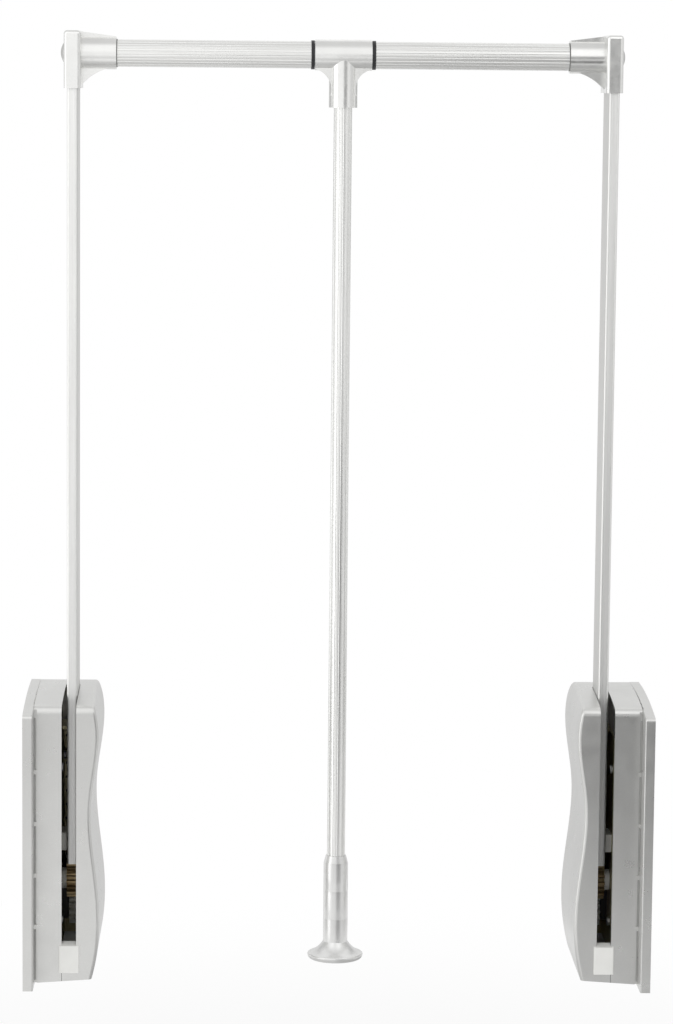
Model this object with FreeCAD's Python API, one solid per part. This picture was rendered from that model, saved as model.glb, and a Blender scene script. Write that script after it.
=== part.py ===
import FreeCAD, Part
import math
import os

# A pull down closet rod: two wall housings, two swinging arms, a hanging rail and a pull rod.
# Millimetres and degrees. X runs along the rail, Y from front to back, Z up.
# The origin is midway between the housings, on the level of their lower edges.

Vector = FreeCAD.Vector

# Whole object
install_width = 564.0        # from wall to wall
arm_reach = 750.4            # from the pivot axis to the rail axis
arm_inset = 41.4             # from the wall to the middle of the arm
pivot_height = 85.0
pivot_from_front = 84.0      # behind the wall plate's front edge
swing_angle = 110.0          # from upright to lowered

# Fits
running_gap = 0.05           # on the radius of a turning or sliding fit
seat_gap = 0.10              # between pieces that are pushed together
moving_gap = 0.40            # between a moving piece and a fixed one

# Side outline of the housings
crown_height = 260.0
crown_from_front = 115.0
crown_radius = 700.0
back_corner = 20.0

# Wall plate
plate_thickness = 9.0
plate_floor = 3.0
plate_corner = 4.0           # at the front end of the arch
plate_edge_round = 1.2
groove_width = 2.5           # between the plate and the cover's edge
groove_depth = 1.5
seat_wall = 3.0
wall_hole_radius = 2.6
wall_hole_low = 32.0
wall_hole_drop = 36.0        # of the upper holes below the crown
wall_hole_from_front = 37.0
wall_hole_from_back = 27.0
snap_tab_count = 4
snap_tab_low = 51.0
snap_tab_pitch = 47.3
snap_tab_height = 4.0
post_radius = 5.5
post_hole_spare = 2.0        # below the screw's tip

# Covers
cover_setback = 25.0         # behind the wall plate's front edge
cover_back_inset = 2.0
cover_bottom = 1.5
foot_rise = 3.2              # of the covers' lower face, from the wall plate to the wavy face
cover_wall = 2.5
cover_corner = 8.0           # at the front end of the arch
cover_edge_round = 3.0
slot_width = 13.1
slot_inner_gap = 0.5         # from the arm to the slot's inner edge
slot_back_gap = 1.6          # from the arm to the slot's back end
slot_bottom = 12.0
foot_reach = 18.1            # from the middle of the arm to the wavy face
belly_reach = 25.6
belly_height = 75.0
waist_gap = 2.6              # from the chassis to the cover at the waist
waist_drop = 94.0            # below the crown
shoulder_reach = 25.4
shoulder_drop = 32.0         # below the crown
top_reach = 19.8
cover_post_radius = 4.0

# Chassis
cheek_play = 1.2             # from the spring's seat to a cheek
cheek_thickness = 2.5
cheek_front_reach = 22.0     # in front of the pivot axis
cheek_bottom = 20.0
web_gap = 11.2               # from the spring's seat to the web
back_room = 11.5             # from the web to the covers' back
shelf_drop = 42.0            # below the crown
shelf_thickness = 3.0
chassis_screw_radius = 2.0
chassis_screw_head_radius = 4.0
chassis_screw_head = 2.2
chassis_screw_length = 14.0
post_low = 48.0
post_drop = 31.0             # of the upper posts below the chassis's top
post_front = -9.0            # from the pivot axis
post_from_web = 11.0
cover_screw_radius = 1.75
cover_screw_head_radius = 3.4
cover_screw_head = 1.8
cover_screw_length = 8.0
cover_screw_low = 60.0
cover_screw_drop = 55.0      # of the upper screws below the crown
cover_screw_from_web = 7.0

# Pivot and lever
axle_radius = 5.0
axle_head_radius = 7.5
axle_head = 2.0
axle_tail = 3.5
clip_radius = 8.0
clip_thickness = 1.2
clip_mouth = 7.0
clip_groove_depth = 1.0
bush_wall = 2.0
bush_flange_radius = 9.5
gear_module = 2.0
gear_teeth = 16
gear_addendum = 1.6
gear_dedendum = 2.3
gear_backlash = 0.7
pressure_angle = 20.0
lever_width = 11.0
neck_gap = 0.6               # from the gear's tip to the arm's foot
neck_depth = 21.0
tongue_length = 75.0
rivet_radius = 2.5
rivet_head_radius = 3.6
rivet_head = 0.3
rivet_first = 10.0           # above the arm's foot
rivet_pitch = 14.0

# Arm
arm_width = 9.5
arm_depth = 50.0
arm_wall = 1.3
arm_corner = 1.8
arm_groove_width = 0.8
arm_groove_depth = 0.5
arm_groove_pitch = 2.5

# Rack, spring and damper
rack_width = 9.6
rack_spare_teeth = 1.5
seat_margin = 0.8            # of the seat round the spring
seat_lap = 0.8               # of the seat over the rack's back
seat_thickness = 3.0
seat_rise = 11.0             # of the seat's lower face above the pivot axis
guide_back = 6.0
guide_rise = 6.0             # top of the guide above the pivot axis
guide_drop = 42.0            # bottom of the guide below the pivot axis
spring_back = 23.0           # spring axis behind the pitch line
spring_wire = 2.2
spring_outer_radius = 9.0
spring_turns = 11
spring_end_bend = 3.3
damper_radius = 5.25
damper_length = 72.0
damper_gland = 3.0
damper_roof = 10.0
damper_rod_radius = 2.0
piston_radius = 3.6
piston_length = 6.0
piston_spare = 2.0           # above the gland at rest
damper_bore_gap = 0.08

# Arm guides and bumper
guide_pad_low = 29.0         # above the pivot axis
guide_pad_height = 16.0
guide_pad_front = 15.0       # in front of the pivot axis
guide_pad_depth = 30.0
bumper_width = 18.0
bumper_low = 10.7
bumper_proud = 1.6
bumper_head = 6.0            # depth of the stop behind the covers' front
bumper_tail = 26.0
bumper_tail_height = 14.0
bumper_round = 0.8

# Elbow
elbow_cheek = 2.7            # wall beside the arm
elbow_wall = 3.0             # wall in front of the arm and behind it
elbow_above = 19.6           # top above the rail axis
elbow_below = 31.4
elbow_round = 3.0
socket_radius = 14.5
socket_length = 30.9
rib_inset = 1.0              # from the socket's end
rib_width = 9.0
rib_step = 0.3               # of the rib's end above the socket
rib_dip = 0.5                # of the rib below the elbow's top
gusset_width = 9.0
gusset_inset = 4.5           # from the socket's end
arm_top_drop = 10.0          # arm's top below the rail axis
elbow_screw_radius = 3.0
elbow_screw_head_radius = 5.5
elbow_screw_head = 4.5
elbow_screw_length = 28.0
counterbore_depth = 6.5
cap_radius = 10.5
cap_proud = 4.0
plug_length = 22.0

# Rail, tee and rings
rail_radius = 12.0
rail_wall = 1.9
rail_flutes = 24
rail_flute_depth = 0.4
core_wall = 2.0
core_length = 150.0
tee_half_length = 25.4
tee_radius = 13.7
tee_socket_radius = 12.8
tee_drop = 46.5              # bottom of the tee below the rail axis
tee_web_width = 15.0
tee_web_drop = 36.0
web_sink = 1.0               # of a web into the round piece beside it
ring_width = 3.0
ring_radius = 12.9
tee_screw_radius = 2.0
tee_screw_rise = 12.0        # above the bottom of the tee

# Pull rod, grip and knob
pull_radius = 8.2
pull_wall = 1.3
pull_flutes = 18
pull_flute_depth = 0.3
pull_top_drop = 18.0         # below the rail axis
grip_radius = 11.2
grip_top = 107.3
grip_bottom = 27.0
grip_socket = 45.0
grip_taper = 7.5             # length of the tapered top
grip_lip = 0.9               # of the grip's top rim round the pull rod
scoop_count = 3
scoop_depth = 2.2
scoop_length = 25.0
scoop_edge = 0.15            # of the scoop's round over the grip's
scoop_pitch = 26.2
scoop_first = 6.5            # top of the first scoop below the grip's top
knob_radius = 25.4
knob_bottom = 10.7
knob_rim = 4.0               # height of the rim
knob_shoulder = 1.5          # rounding from the rim to the flare
knob_hollow = 1.0            # bow of the flare
knob_spigot_radius = 6.0
knob_spigot = 12.0
knob_dish = 2.0

# Places worked out from the sizes above
wall_x = install_width / 2
arm_x = wall_x - arm_inset
plate_x = wall_x - plate_thickness
cover_x = plate_x - groove_width
slot_in_x = arm_x - arm_width / 2 - slot_inner_gap
split_x = slot_in_x + slot_width
slot_x = (slot_in_x + split_x) / 2
seat_radius = spring_outer_radius + seat_margin
cheek_gap = 2 * (seat_radius + cheek_play)
pitch_radius = gear_module * gear_teeth / 2
web_reach = pitch_radius + spring_back + seat_radius + web_gap
plate_depth = pivot_from_front + web_reach + cheek_thickness + back_room + cover_back_inset
plate_front = -plate_depth / 2
plate_back = plate_depth / 2
cover_front = plate_front + cover_setback
cover_back = plate_back - cover_back_inset
crown_y = plate_front + crown_from_front
pivot_y = plate_front + pivot_from_front
web_y = pivot_y + web_reach
cheek_in_x = arm_x - cheek_gap / 2
cheek_out_x = arm_x + cheek_gap / 2
shelf_height = crown_height - shelf_drop
chassis_top = shelf_height + shelf_thickness
rail_z = pivot_height + arm_reach
arm_foot = pivot_height + pitch_radius + gear_addendum + neck_gap
arm_top = rail_z - arm_top_drop
slot_end = pivot_y + arm_depth / 2 + slot_back_gap
pitch_y = pivot_y + pitch_radius
tooth_pitch = math.pi * gear_module
travel = pitch_radius * math.radians(swing_angle)
rack_root_y = pitch_y + gear_addendum + moving_gap
spring_y = pitch_y + spring_back
rack_back_y = spring_y - seat_radius + seat_lap
seat_low = pivot_height + seat_rise
seat_top = seat_low + seat_thickness
bush_radius = axle_radius + running_gap + bush_wall
core_radius = rail_radius - rail_wall - seat_gap
tee_bottom = rail_z - tee_drop
pull_top = rail_z - pull_top_drop
grip_socket_floor = grip_top - grip_socket
pull_bottom = grip_socket_floor + seat_gap
ring_in_x = tee_half_length + moving_gap
rail_in_x = ring_in_x + ring_width
elbow_in_x = arm_x - arm_width / 2 - elbow_cheek
elbow_out_x = arm_x + arm_width / 2 + elbow_cheek
rail_out_x = elbow_in_x - seat_gap
socket_in_x = elbow_in_x - socket_length
elbow_bottom = rail_z - elbow_below
elbow_top = rail_z + elbow_above


def block(x0, x1, y0, y1, z0, z1):
    return Part.makeBox(x1 - x0, y1 - y0, z1 - z0, Vector(x0, y0, z0))


def bar_x(x0, x1, y, z, radius):
    return Part.makeCylinder(radius, x1 - x0, Vector(x0, y, z), Vector(1, 0, 0))


def bar_y(y0, y1, x, z, radius):
    return Part.makeCylinder(radius, y1 - y0, Vector(x, y0, z), Vector(0, 1, 0))


def bar_z(z0, z1, x, y, radius):
    return Part.makeCylinder(radius, z1 - z0, Vector(x, y, z0), Vector(0, 0, 1))


def line(a, b):
    return Part.LineSegment(a, b).toShape()


def arc(a, b, c):
    return Part.Arc(a, b, c).toShape()


def solid_of(edges, push):
    """The closed outline of the edges, pushed along a vector."""
    return Part.Face(Part.Wire(edges)).extrude(push)


def polygon_solid(points, push):
    return Part.Face(Part.makePolygon(points + points[:1])).extrude(push)


def joined(shapes):
    return shapes[0].fuse(shapes[1:]).removeSplitter()


def housing_solid(x0, x1, front, back, bottom, inset, corner_front, corner_back):
    """The housing's side outline between two X planes: upright front and back, and an arched
    top whose two corners are arcs tangent to the arch and to the upright edges."""
    radius = crown_radius - inset
    centre_z = crown_height - crown_radius

    def corner(y_edge, turn, r):
        centre_y = y_edge + turn * r
        rise = math.sqrt((radius - r) ** 2 - (centre_y - crown_y) ** 2)
        out_y = (centre_y - crown_y) / (radius - r)
        out_z = rise / (radius - r)
        mid = Vector(0, out_y - turn, out_z).normalize()
        low = Vector(x0, y_edge, centre_z + rise)
        middle = Vector(x0, centre_y + r * mid.y, centre_z + rise + r * mid.z)
        high = Vector(x0, crown_y + radius * out_y, centre_z + radius * out_z)
        return low, middle, high

    f_low, f_mid, f_high = corner(front, 1, corner_front)
    b_low, b_mid, b_high = corner(back, -1, corner_back)
    crown = Vector(x0, crown_y, centre_z + radius)
    foot_front = Vector(x0, front, bottom)
    foot_back = Vector(x0, back, bottom)
    edges = [
        line(foot_front, f_low),
        arc(f_low, f_mid, f_high),
        arc(f_high, crown, b_high),
        arc(b_high, b_mid, b_low),
        line(b_low, foot_back),
        line(foot_back, foot_front),
    ]
    return solid_of(edges, Vector(x1 - x0, 0, 0))


def wall_plate():
    plate = housing_solid(plate_x, wall_x, plate_front, plate_back, 0, 0, plate_corner, back_corner)
    inner = [e for e in plate.Edges if all(abs(v.X - plate_x) < 1e-6 for v in e.Vertexes)]
    rim = [e for e in inner if all(v.Y < cover_front for v in e.Vertexes)]
    plate = plate.makeFillet(plate_edge_round, rim)
    groove = block(cover_x, plate_x, cover_front, cover_front + groove_depth, 0, crown_height)
    seat = cover_hollow(cover_x, plate_x, 0).cut(groove)
    body = [plate, seat]
    tab_y = cover_front
    for i in range(snap_tab_count):
        low = snap_tab_low + i * snap_tab_pitch
        tab = block(cover_x, plate_x, tab_y, tab_y + groove_depth + seat_wall / 2, low, low + snap_tab_height)
        body.append(tab)
    plate = joined(body)
    floor_x = wall_x - plate_floor
    pocket = cover_hollow(cover_x, floor_x, groove_depth + seat_wall)
    plate = plate.cut(pocket)
    post_x = cheek_out_x + cheek_thickness
    plate = joined([plate] + [bar_x(post_x, floor_x, y, z, post_radius) for y, z in post_places()])
    hole_x = cheek_out_x + chassis_screw_length + post_hole_spare
    holes = [bar_x(post_x, hole_x, y, z, chassis_screw_radius + seat_gap) for y, z in post_places()]
    for y in (plate_front + wall_hole_from_front, plate_back - wall_hole_from_back):
        for z in (wall_hole_low, crown_height - wall_hole_drop):
            holes.append(bar_x(floor_x, wall_x, y, z, wall_hole_radius))
    return plate.cut(holes)


def post_places():
    heights = (post_low, chassis_top - post_drop)
    return [(y, z) for y in (pivot_y + post_front, web_y - post_from_web) for z in heights]


def cover_hollow(x0, x1, inset):
    """The covers' side outline, drawn in all round by the inset."""
    return housing_solid(
        x0, x1,
        cover_front + inset, cover_back - inset, cover_bottom + inset, inset,
        max(cover_corner - inset, cover_corner / 2), max(back_corner - inset, back_corner / 2),
    )


def foot_height(x):
    """Height of the covers' lower face, which rises from the wall plate to the wavy face."""
    return cover_bottom + foot_rise * (cover_x - x) / (cover_x - arm_x + foot_reach)


def raised(solid, x0, x1, lift):
    """The solid without what is below the covers' lower face and a lift above it."""
    low = Vector(0, 0, lift)
    points = [
        Vector(x0, plate_front, foot_height(x0)) + low, Vector(x1, plate_front, foot_height(x1)) + low,
        Vector(x1, plate_front, 0), Vector(x0, plate_front, 0),
    ]
    return solid.cut(polygon_solid(points, Vector(0, plate_depth, 0)))


def outer_cover():
    hoop = raised(cover_hollow(split_x, cover_x, 0), split_x, cover_x, 0)
    return hoop.cut(raised(cover_hollow(split_x, cover_x, cover_wall), split_x, cover_x, cover_wall))


def wave_solid(shift, low, high):
    """The housing's front outline from the wavy inner face to the split, as deep as the plate."""
    waist_reach = cheek_gap / 2 + cheek_thickness + waist_gap + cover_wall
    heights_and_reaches = (
        (low, foot_reach),
        (belly_height, belly_reach),
        (crown_height - waist_drop, waist_reach),
        (crown_height - shoulder_drop, shoulder_reach),
        (high, top_reach),
    )
    points = [Vector(arm_x - reach + shift, plate_front, z) for z, reach in heights_and_reaches]
    wave = Part.BSplineCurve()
    wave.interpolate(Points=points)
    top = Vector(split_x, plate_front, high)
    foot = Vector(split_x, plate_front, low)
    edges = [wave.toShape(), line(points[-1], top), line(top, foot), line(foot, points[0])]
    return solid_of(edges, Vector(0, plate_depth, 0))


def inner_cover():
    far_x = arm_x - 2 * max(belly_reach, shoulder_reach)
    outer = cover_hollow(far_x, split_x, 0).common(wave_solid(0, cover_bottom, crown_height))
    outer = raised(outer, far_x, split_x, 0)

    def is_wave_edge(edge):
        middle = edge.valueAt((edge.FirstParameter + edge.LastParameter) / 2)
        return middle.x < slot_in_x and middle.z > foot_height(middle.x) + 1e-3

    outer = outer.makeFillet(cover_edge_round, [e for e in outer.Edges if is_wave_edge(e)])
    hollow = cover_hollow(far_x, split_x, cover_wall).common(
        wave_solid(cover_wall, cover_bottom, crown_height))
    shell = outer.cut(raised(hollow, far_x, split_x, cover_wall))
    slot = block(slot_in_x, split_x, cover_front, slot_end, slot_bottom, crown_height)
    shell = shell.cut(slot)
    seat_x = cheek_in_x - cheek_thickness
    posts = [bar_x(far_x, seat_x, y, z, cover_post_radius) for y, z in cover_screw_places()]
    posts = [post.common(outer) for post in posts]
    shell = joined([shell] + posts)
    tip_x = seat_x + cheek_thickness - cover_screw_length
    drills = [
        bar_x(tip_x - seat_gap, seat_x, y, z, cover_screw_radius + seat_gap)
        for y, z in cover_screw_places()
    ]
    return shell.cut(drills)


def cover_screw_places():
    heights = (cover_screw_low, crown_height - cover_screw_drop)
    return [(web_y - cover_screw_from_web, z) for z in heights]


def cover_screws():
    screws = []
    for y, z in cover_screw_places():
        head = bar_x(cheek_in_x, cheek_in_x + cover_screw_head, y, z, cover_screw_head_radius)
        shank = bar_x(cheek_in_x - cover_screw_length, cheek_in_x, y, z, cover_screw_radius)
        screws.append(joined([shank, head]))
    return Part.makeCompound(screws)


def chassis():
    low_x = cheek_in_x - cheek_thickness
    high_x = cheek_out_x + cheek_thickness
    front = pivot_y - cheek_front_reach
    shelf_front = slot_end + moving_gap
    frame = joined([
        block(low_x, cheek_in_x, front, web_y, cheek_bottom, chassis_top),
        block(cheek_out_x, high_x, front, web_y, cheek_bottom, chassis_top),
        block(low_x, high_x, web_y, web_y + cheek_thickness, cheek_bottom, chassis_top),
        block(cheek_in_x, cheek_out_x, shelf_front, web_y, shelf_height, chassis_top),
    ])
    cuts = [bar_x(low_x, high_x, pivot_y, pivot_height, axle_radius + seat_gap)]
    for y, z in post_places():
        cuts.append(bar_x(cheek_out_x, high_x, y, z, chassis_screw_radius + seat_gap))
    for y, z in cover_screw_places():
        cuts.append(bar_x(low_x, cheek_in_x, y, z, cover_screw_radius + seat_gap))
    return frame.cut(cuts)


def chassis_screws():
    screws = []
    for y, z in post_places():
        head = bar_x(cheek_out_x - chassis_screw_head, cheek_out_x, y, z, chassis_screw_head_radius)
        shank = bar_x(cheek_out_x, cheek_out_x + chassis_screw_length, y, z, chassis_screw_radius)
        screws.append(joined([head, shank]))
    return Part.makeCompound(screws)


def pivot_axle():
    head_x = cheek_out_x + cheek_thickness
    tail_x = cheek_in_x - cheek_thickness - axle_tail
    shaft = bar_x(tail_x, head_x, pivot_y, pivot_height, axle_radius)
    head = bar_x(head_x, head_x + axle_head, pivot_y, pivot_height, axle_head_radius)
    axle = joined([shaft, head])
    return axle.cut(clip_groove())


def clip_groove():
    high_x = cheek_in_x - cheek_thickness
    low_x = high_x - clip_thickness - seat_gap
    ring = bar_x(low_x, high_x, pivot_y, pivot_height, axle_radius)
    return ring.cut(bar_x(low_x, high_x, pivot_y, pivot_height, axle_radius - clip_groove_depth))


def axle_clip():
    high_x = cheek_in_x - cheek_thickness
    low_x = high_x - clip_thickness
    bore = axle_radius - clip_groove_depth + seat_gap
    disc = bar_x(low_x, high_x, pivot_y, pivot_height, clip_radius)
    mouth = block(low_x, high_x, pivot_y - clip_mouth / 2, pivot_y + clip_mouth / 2,
                  pivot_height - clip_radius, pivot_height)
    return disc.cut([bar_x(low_x, high_x, pivot_y, pivot_height, bore), mouth])


def pivot_bushes():
    bushes = []
    for turn in (-1, 1):
        face_x = arm_x + turn * lever_width / 2
        end_x = arm_x + turn * (cheek_gap / 2 - moving_gap)
        low, high = sorted((arm_x + turn * seat_gap, end_x))
        sleeve = bar_x(low, high, pivot_y, pivot_height, bush_radius)
        low_f, high_f = sorted((face_x, end_x))
        flange = bar_x(low_f, high_f, pivot_y, pivot_height, bush_flange_radius)
        bush = joined([sleeve, flange])
        bushes.append(bush.cut(bar_x(low, high, pivot_y, pivot_height, axle_radius + running_gap)))
    return Part.makeCompound(bushes)


def involute_angle(radius, base):
    """Polar angle of the involute of a base circle, at a radius."""
    if radius <= base:
        return 0.0
    slope = math.sqrt((radius / base) ** 2 - 1)
    return slope - math.atan(slope)


def gear_solid(x0, width):
    """Spur gear about the pivot axis, with one tooth towards +Y."""
    base = pitch_radius * math.cos(math.radians(pressure_angle))
    tip = pitch_radius + gear_addendum
    root = pitch_radius - gear_dedendum
    half_tooth = (tooth_pitch / 2 - gear_backlash / 2) / (2 * pitch_radius)
    half_base = half_tooth + involute_angle(pitch_radius, base)

    def at(radius, angle):
        return Vector(x0, pivot_y + radius * math.cos(angle), pivot_height + radius * math.sin(angle))

    def flank(radius):
        return half_base - involute_angle(radius, base)

    edges = []
    step = 2 * math.pi / gear_teeth
    for i in range(gear_teeth):
        a = i * step
        mid = (base + tip) / 2
        edges.append(line(at(root, a - half_base), at(base, a - half_base)))
        edges.append(arc(at(base, a - half_base), at(mid, a - flank(mid)), at(tip, a - flank(tip))))
        edges.append(arc(at(tip, a - flank(tip)), at(tip, a), at(tip, a + flank(tip))))
        edges.append(arc(at(tip, a + flank(tip)), at(mid, a + flank(mid)), at(base, a + half_base)))
        edges.append(line(at(base, a + half_base), at(root, a + half_base)))
        edges.append(arc(at(root, a + half_base), at(root, a + step / 2), at(root, a + step - half_base)))
    return solid_of(edges, Vector(width, 0, 0))


def arm_lever():
    low_x = arm_x - lever_width / 2
    high_x = arm_x + lever_width / 2
    gear = gear_solid(low_x, lever_width)
    neck_half = neck_depth / 2
    neck = block(low_x, high_x, pivot_y - neck_half, pivot_y + neck_half, pivot_height, arm_foot)
    half_width = arm_width / 2 - arm_wall - seat_gap
    half_depth = arm_depth / 2 - arm_wall - seat_gap
    tongue = block(arm_x - half_width, arm_x + half_width, pivot_y - half_depth, pivot_y + half_depth,
                   arm_foot, arm_foot + tongue_length)
    upright = [e for e in tongue.Edges if abs(e.Vertexes[0].Z - e.Vertexes[1].Z) > 1]
    tongue = tongue.makeFillet(arm_corner - arm_wall, upright)
    lever = joined([gear, neck, tongue])
    bore = bar_x(low_x, high_x, pivot_y, pivot_height, bush_radius)
    return lever.cut([bore] + rivet_drills())


def rivet_heights():
    return [arm_foot + rivet_first + i * rivet_pitch for i in range(2)]


def rivet_drills():
    low_x = arm_x - arm_width / 2
    high_x = arm_x + arm_width / 2
    return [bar_x(low_x, high_x, pivot_y, z, rivet_radius + seat_gap) for z in rivet_heights()]


def arm_rivets():
    low_x = arm_x - arm_width / 2
    high_x = arm_x + arm_width / 2
    rivets = []
    for z in rivet_heights():
        rivets.append(joined([
            bar_x(low_x, high_x, pivot_y, z, rivet_radius),
            bar_x(low_x - rivet_head, low_x, pivot_y, z, rivet_head_radius),
            bar_x(high_x, high_x + rivet_head, pivot_y, z, rivet_head_radius),
        ]))
    return Part.makeCompound(rivets)


def arm_tube():
    def flat_bar(inset):
        half_x = arm_width / 2 - inset
        half_y = arm_depth / 2 - inset
        bar = block(arm_x - half_x, arm_x + half_x, pivot_y - half_y, pivot_y + half_y, arm_foot, arm_top)
        upright = [e for e in bar.Edges if abs(e.Vertexes[0].Z - e.Vertexes[1].Z) > 1]
        return bar.makeFillet(arm_corner - inset, upright)

    cuts = [flat_bar(arm_wall)] + rivet_drills()
    for turn in (-1, 1):
        face_y = pivot_y + turn * arm_depth / 2
        floor_y = face_y - turn * arm_groove_depth
        low, high = sorted((face_y, floor_y))
        for i in (-1, 0, 1):
            left = arm_x + i * arm_groove_pitch - arm_groove_width / 2
            cuts.append(block(left, left + arm_groove_width, low, high, arm_foot, arm_top))
    return flat_bar(0).cut(cuts)


def rack():
    slope = math.tan(math.radians(pressure_angle))
    tip_y = pitch_y - gear_addendum
    half_tooth = (tooth_pitch - gear_backlash) / 4
    half_tip = half_tooth - gear_addendum * slope
    half_root = half_tooth + (rack_root_y - pitch_y) * slope
    count_below = math.ceil(travel / tooth_pitch + rack_spare_teeth)
    count_above = 1
    bottom = pivot_height - (count_below + 0.5) * tooth_pitch
    low_x = arm_x - rack_width / 2
    points = [Vector(low_x, rack_back_y, bottom), Vector(low_x, rack_root_y, bottom)]
    for i in range(-count_below, count_above):
        z = pivot_height + (i + 0.5) * tooth_pitch
        points.append(Vector(low_x, rack_root_y, z - half_root))
        points.append(Vector(low_x, tip_y, z - half_tip))
        points.append(Vector(low_x, tip_y, z + half_tip))
        points.append(Vector(low_x, rack_root_y, z + half_root))
    points.append(Vector(low_x, rack_root_y, seat_low))
    points.append(Vector(low_x, rack_back_y, seat_low))
    bar = polygon_solid(points, Vector(rack_width, 0, 0))
    seat = bar_z(seat_low, seat_top, arm_x, spring_y, seat_radius)
    return joined([bar, seat])


def rack_guide():
    low_z = pivot_height - guide_drop
    high_z = pivot_height + guide_rise
    back_y = rack_back_y + moving_gap
    rack_side = rack_width / 2 + moving_gap
    rib_front = pitch_y
    channel = block(cheek_in_x, cheek_out_x, rib_front, back_y + guide_back, low_z, high_z)
    gear_side = lever_width / 2 + moving_gap
    wide = block(arm_x - gear_side, arm_x + gear_side, rib_front, rack_root_y, low_z, high_z)
    way = block(arm_x - rack_side, arm_x + rack_side, rib_front, back_y, low_z, high_z)
    return channel.cut([wide, way])


def biarc(p1, t1, p2, t2):
    """Two arcs that leave p1 along t1, meet with one tangent and reach p2 along t2."""
    chord = p2 - p1
    total = t1 + t2
    k = 2 * (1 - t1.dot(t2))
    b = chord.dot(total)
    d = (math.sqrt(b * b + k * chord.dot(chord)) - b) / k
    joint = (p1 + p2 + (t1 - t2) * d) * 0.5

    def half(start, tangent, end):
        """Middle of the arc that leaves start along a tangent and reaches end."""
        span = end - start
        normal = (span - tangent * span.dot(tangent)).normalize()
        radius = span.dot(span) / (2 * span.dot(normal))
        centre = start + normal * radius
        out = ((start + end) * 0.5 - centre).normalize()
        return centre + out * radius

    return [arc(p1, half(p1, t1, joint), joint), arc(joint, half(p2, t2 * -1, joint), p2)]


def spring_path():
    """A helix of half-turn biarcs whose ends turn upright and run straight onto their seats."""
    radius = spring_outer_radius - spring_wire / 2
    end_rise = spring_wire
    free = shelf_height - seat_top - 2 * end_rise
    angle_guess = math.atan(free / (spring_turns * 2 * math.pi * radius))
    bend_rise = spring_end_bend * math.cos(angle_guess)
    height = free - 2 * bend_rise
    lead = height / (spring_turns * 2 * math.pi * radius)
    climb = math.atan(lead)
    bend_rise = spring_end_bend * math.cos(climb)
    low = seat_top + end_rise + bend_rise
    high = shelf_height - end_rise - bend_rise

    def at(turn):
        a = 2 * math.pi * turn
        z = low + (high - low) * turn / spring_turns
        return Vector(arm_x + radius * math.cos(a), spring_y + radius * math.sin(a), z)

    slope = math.atan((high - low) / (spring_turns * 2 * math.pi * radius))

    def along(turn):
        a = 2 * math.pi * turn
        return Vector(-math.sin(a) * math.cos(slope), math.cos(a) * math.cos(slope), math.sin(slope))

    up = Vector(0, 0, 1)

    def bend(point, tangent, turn):
        """From an upright wire (turn 1: below, -1: above) to the helix's end."""
        flat = Vector(tangent.x, tangent.y, 0).normalize()
        upright = flat * -math.sin(slope) + up * math.cos(slope)
        centre = point - upright * (turn * spring_end_bend)
        foot = centre - flat * (turn * spring_end_bend)
        out = ((point + foot) * 0.5 - centre).normalize()
        middle = centre + out * spring_end_bend
        return foot, arc(foot, middle, point) if turn > 0 else arc(point, middle, foot)

    foot, first_bend = bend(at(0), along(0), 1)
    head, last_bend = bend(at(spring_turns), along(spring_turns), -1)
    edges = [line(foot - up * (foot.z - seat_top), foot), first_bend]
    for i in range(2 * spring_turns):
        a = i / 2
        b = (i + 1) / 2
        edges += biarc(at(a), along(a), at(b), along(b))
    edges += [last_bend, line(head, head + up * (shelf_height - head.z))]
    return edges


def lift_spring():
    edges = spring_path()
    start = edges[0].Vertexes[0].Point
    ring = Part.Wire(Part.makeCircle(spring_wire / 2, start, Vector(0, 0, 1)))
    return Part.Wire(edges).makePipeShell([ring], True, False)


def spring_gap():
    """Least clear distance between two turns of the spring's wire, measured on points."""
    radius = spring_outer_radius - spring_wire / 2
    points = [p for e in spring_path() for p in e.discretize(9)[:-1]]
    reach = math.pi * radius
    least = math.inf
    ways = [0.0]
    for a, b in zip(points, points[1:]):
        ways.append(ways[-1] + a.distanceToPoint(b))
    for i, a in enumerate(points):
        for k in range(i + 1, len(points)):
            if ways[k] - ways[i] > reach:
                least = min(least, a.distanceToPoint(points[k]))
    return least - spring_wire


def damper_body():
    low = shelf_height - damper_length
    floor = low + damper_gland
    roof = shelf_height - damper_roof
    tube = bar_z(low, shelf_height, arm_x, spring_y, damper_radius)
    bore = bar_z(floor, roof, arm_x, spring_y, piston_radius + damper_bore_gap)
    gland = bar_z(low, floor, arm_x, spring_y, damper_rod_radius + damper_bore_gap)
    return tube.cut([bore, gland])


def damper_rod():
    top = shelf_height - damper_length + damper_gland + piston_spare
    rod = bar_z(seat_top, top, arm_x, spring_y, damper_rod_radius)
    piston = bar_z(top, top + piston_length, arm_x, spring_y, piston_radius)
    return joined([rod, piston])


def arm_guides():
    pads = []
    low = pivot_height + guide_pad_low
    front = pivot_y - guide_pad_front
    reach = arm_width / 2 + rivet_head + moving_gap
    for turn in (-1, 1):
        low_x, high_x = sorted((arm_x + turn * reach, arm_x + turn * cheek_gap / 2))
        pads.append(block(low_x, high_x, front, front + guide_pad_depth, low, low + guide_pad_height))
    return Part.makeCompound(pads)


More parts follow.
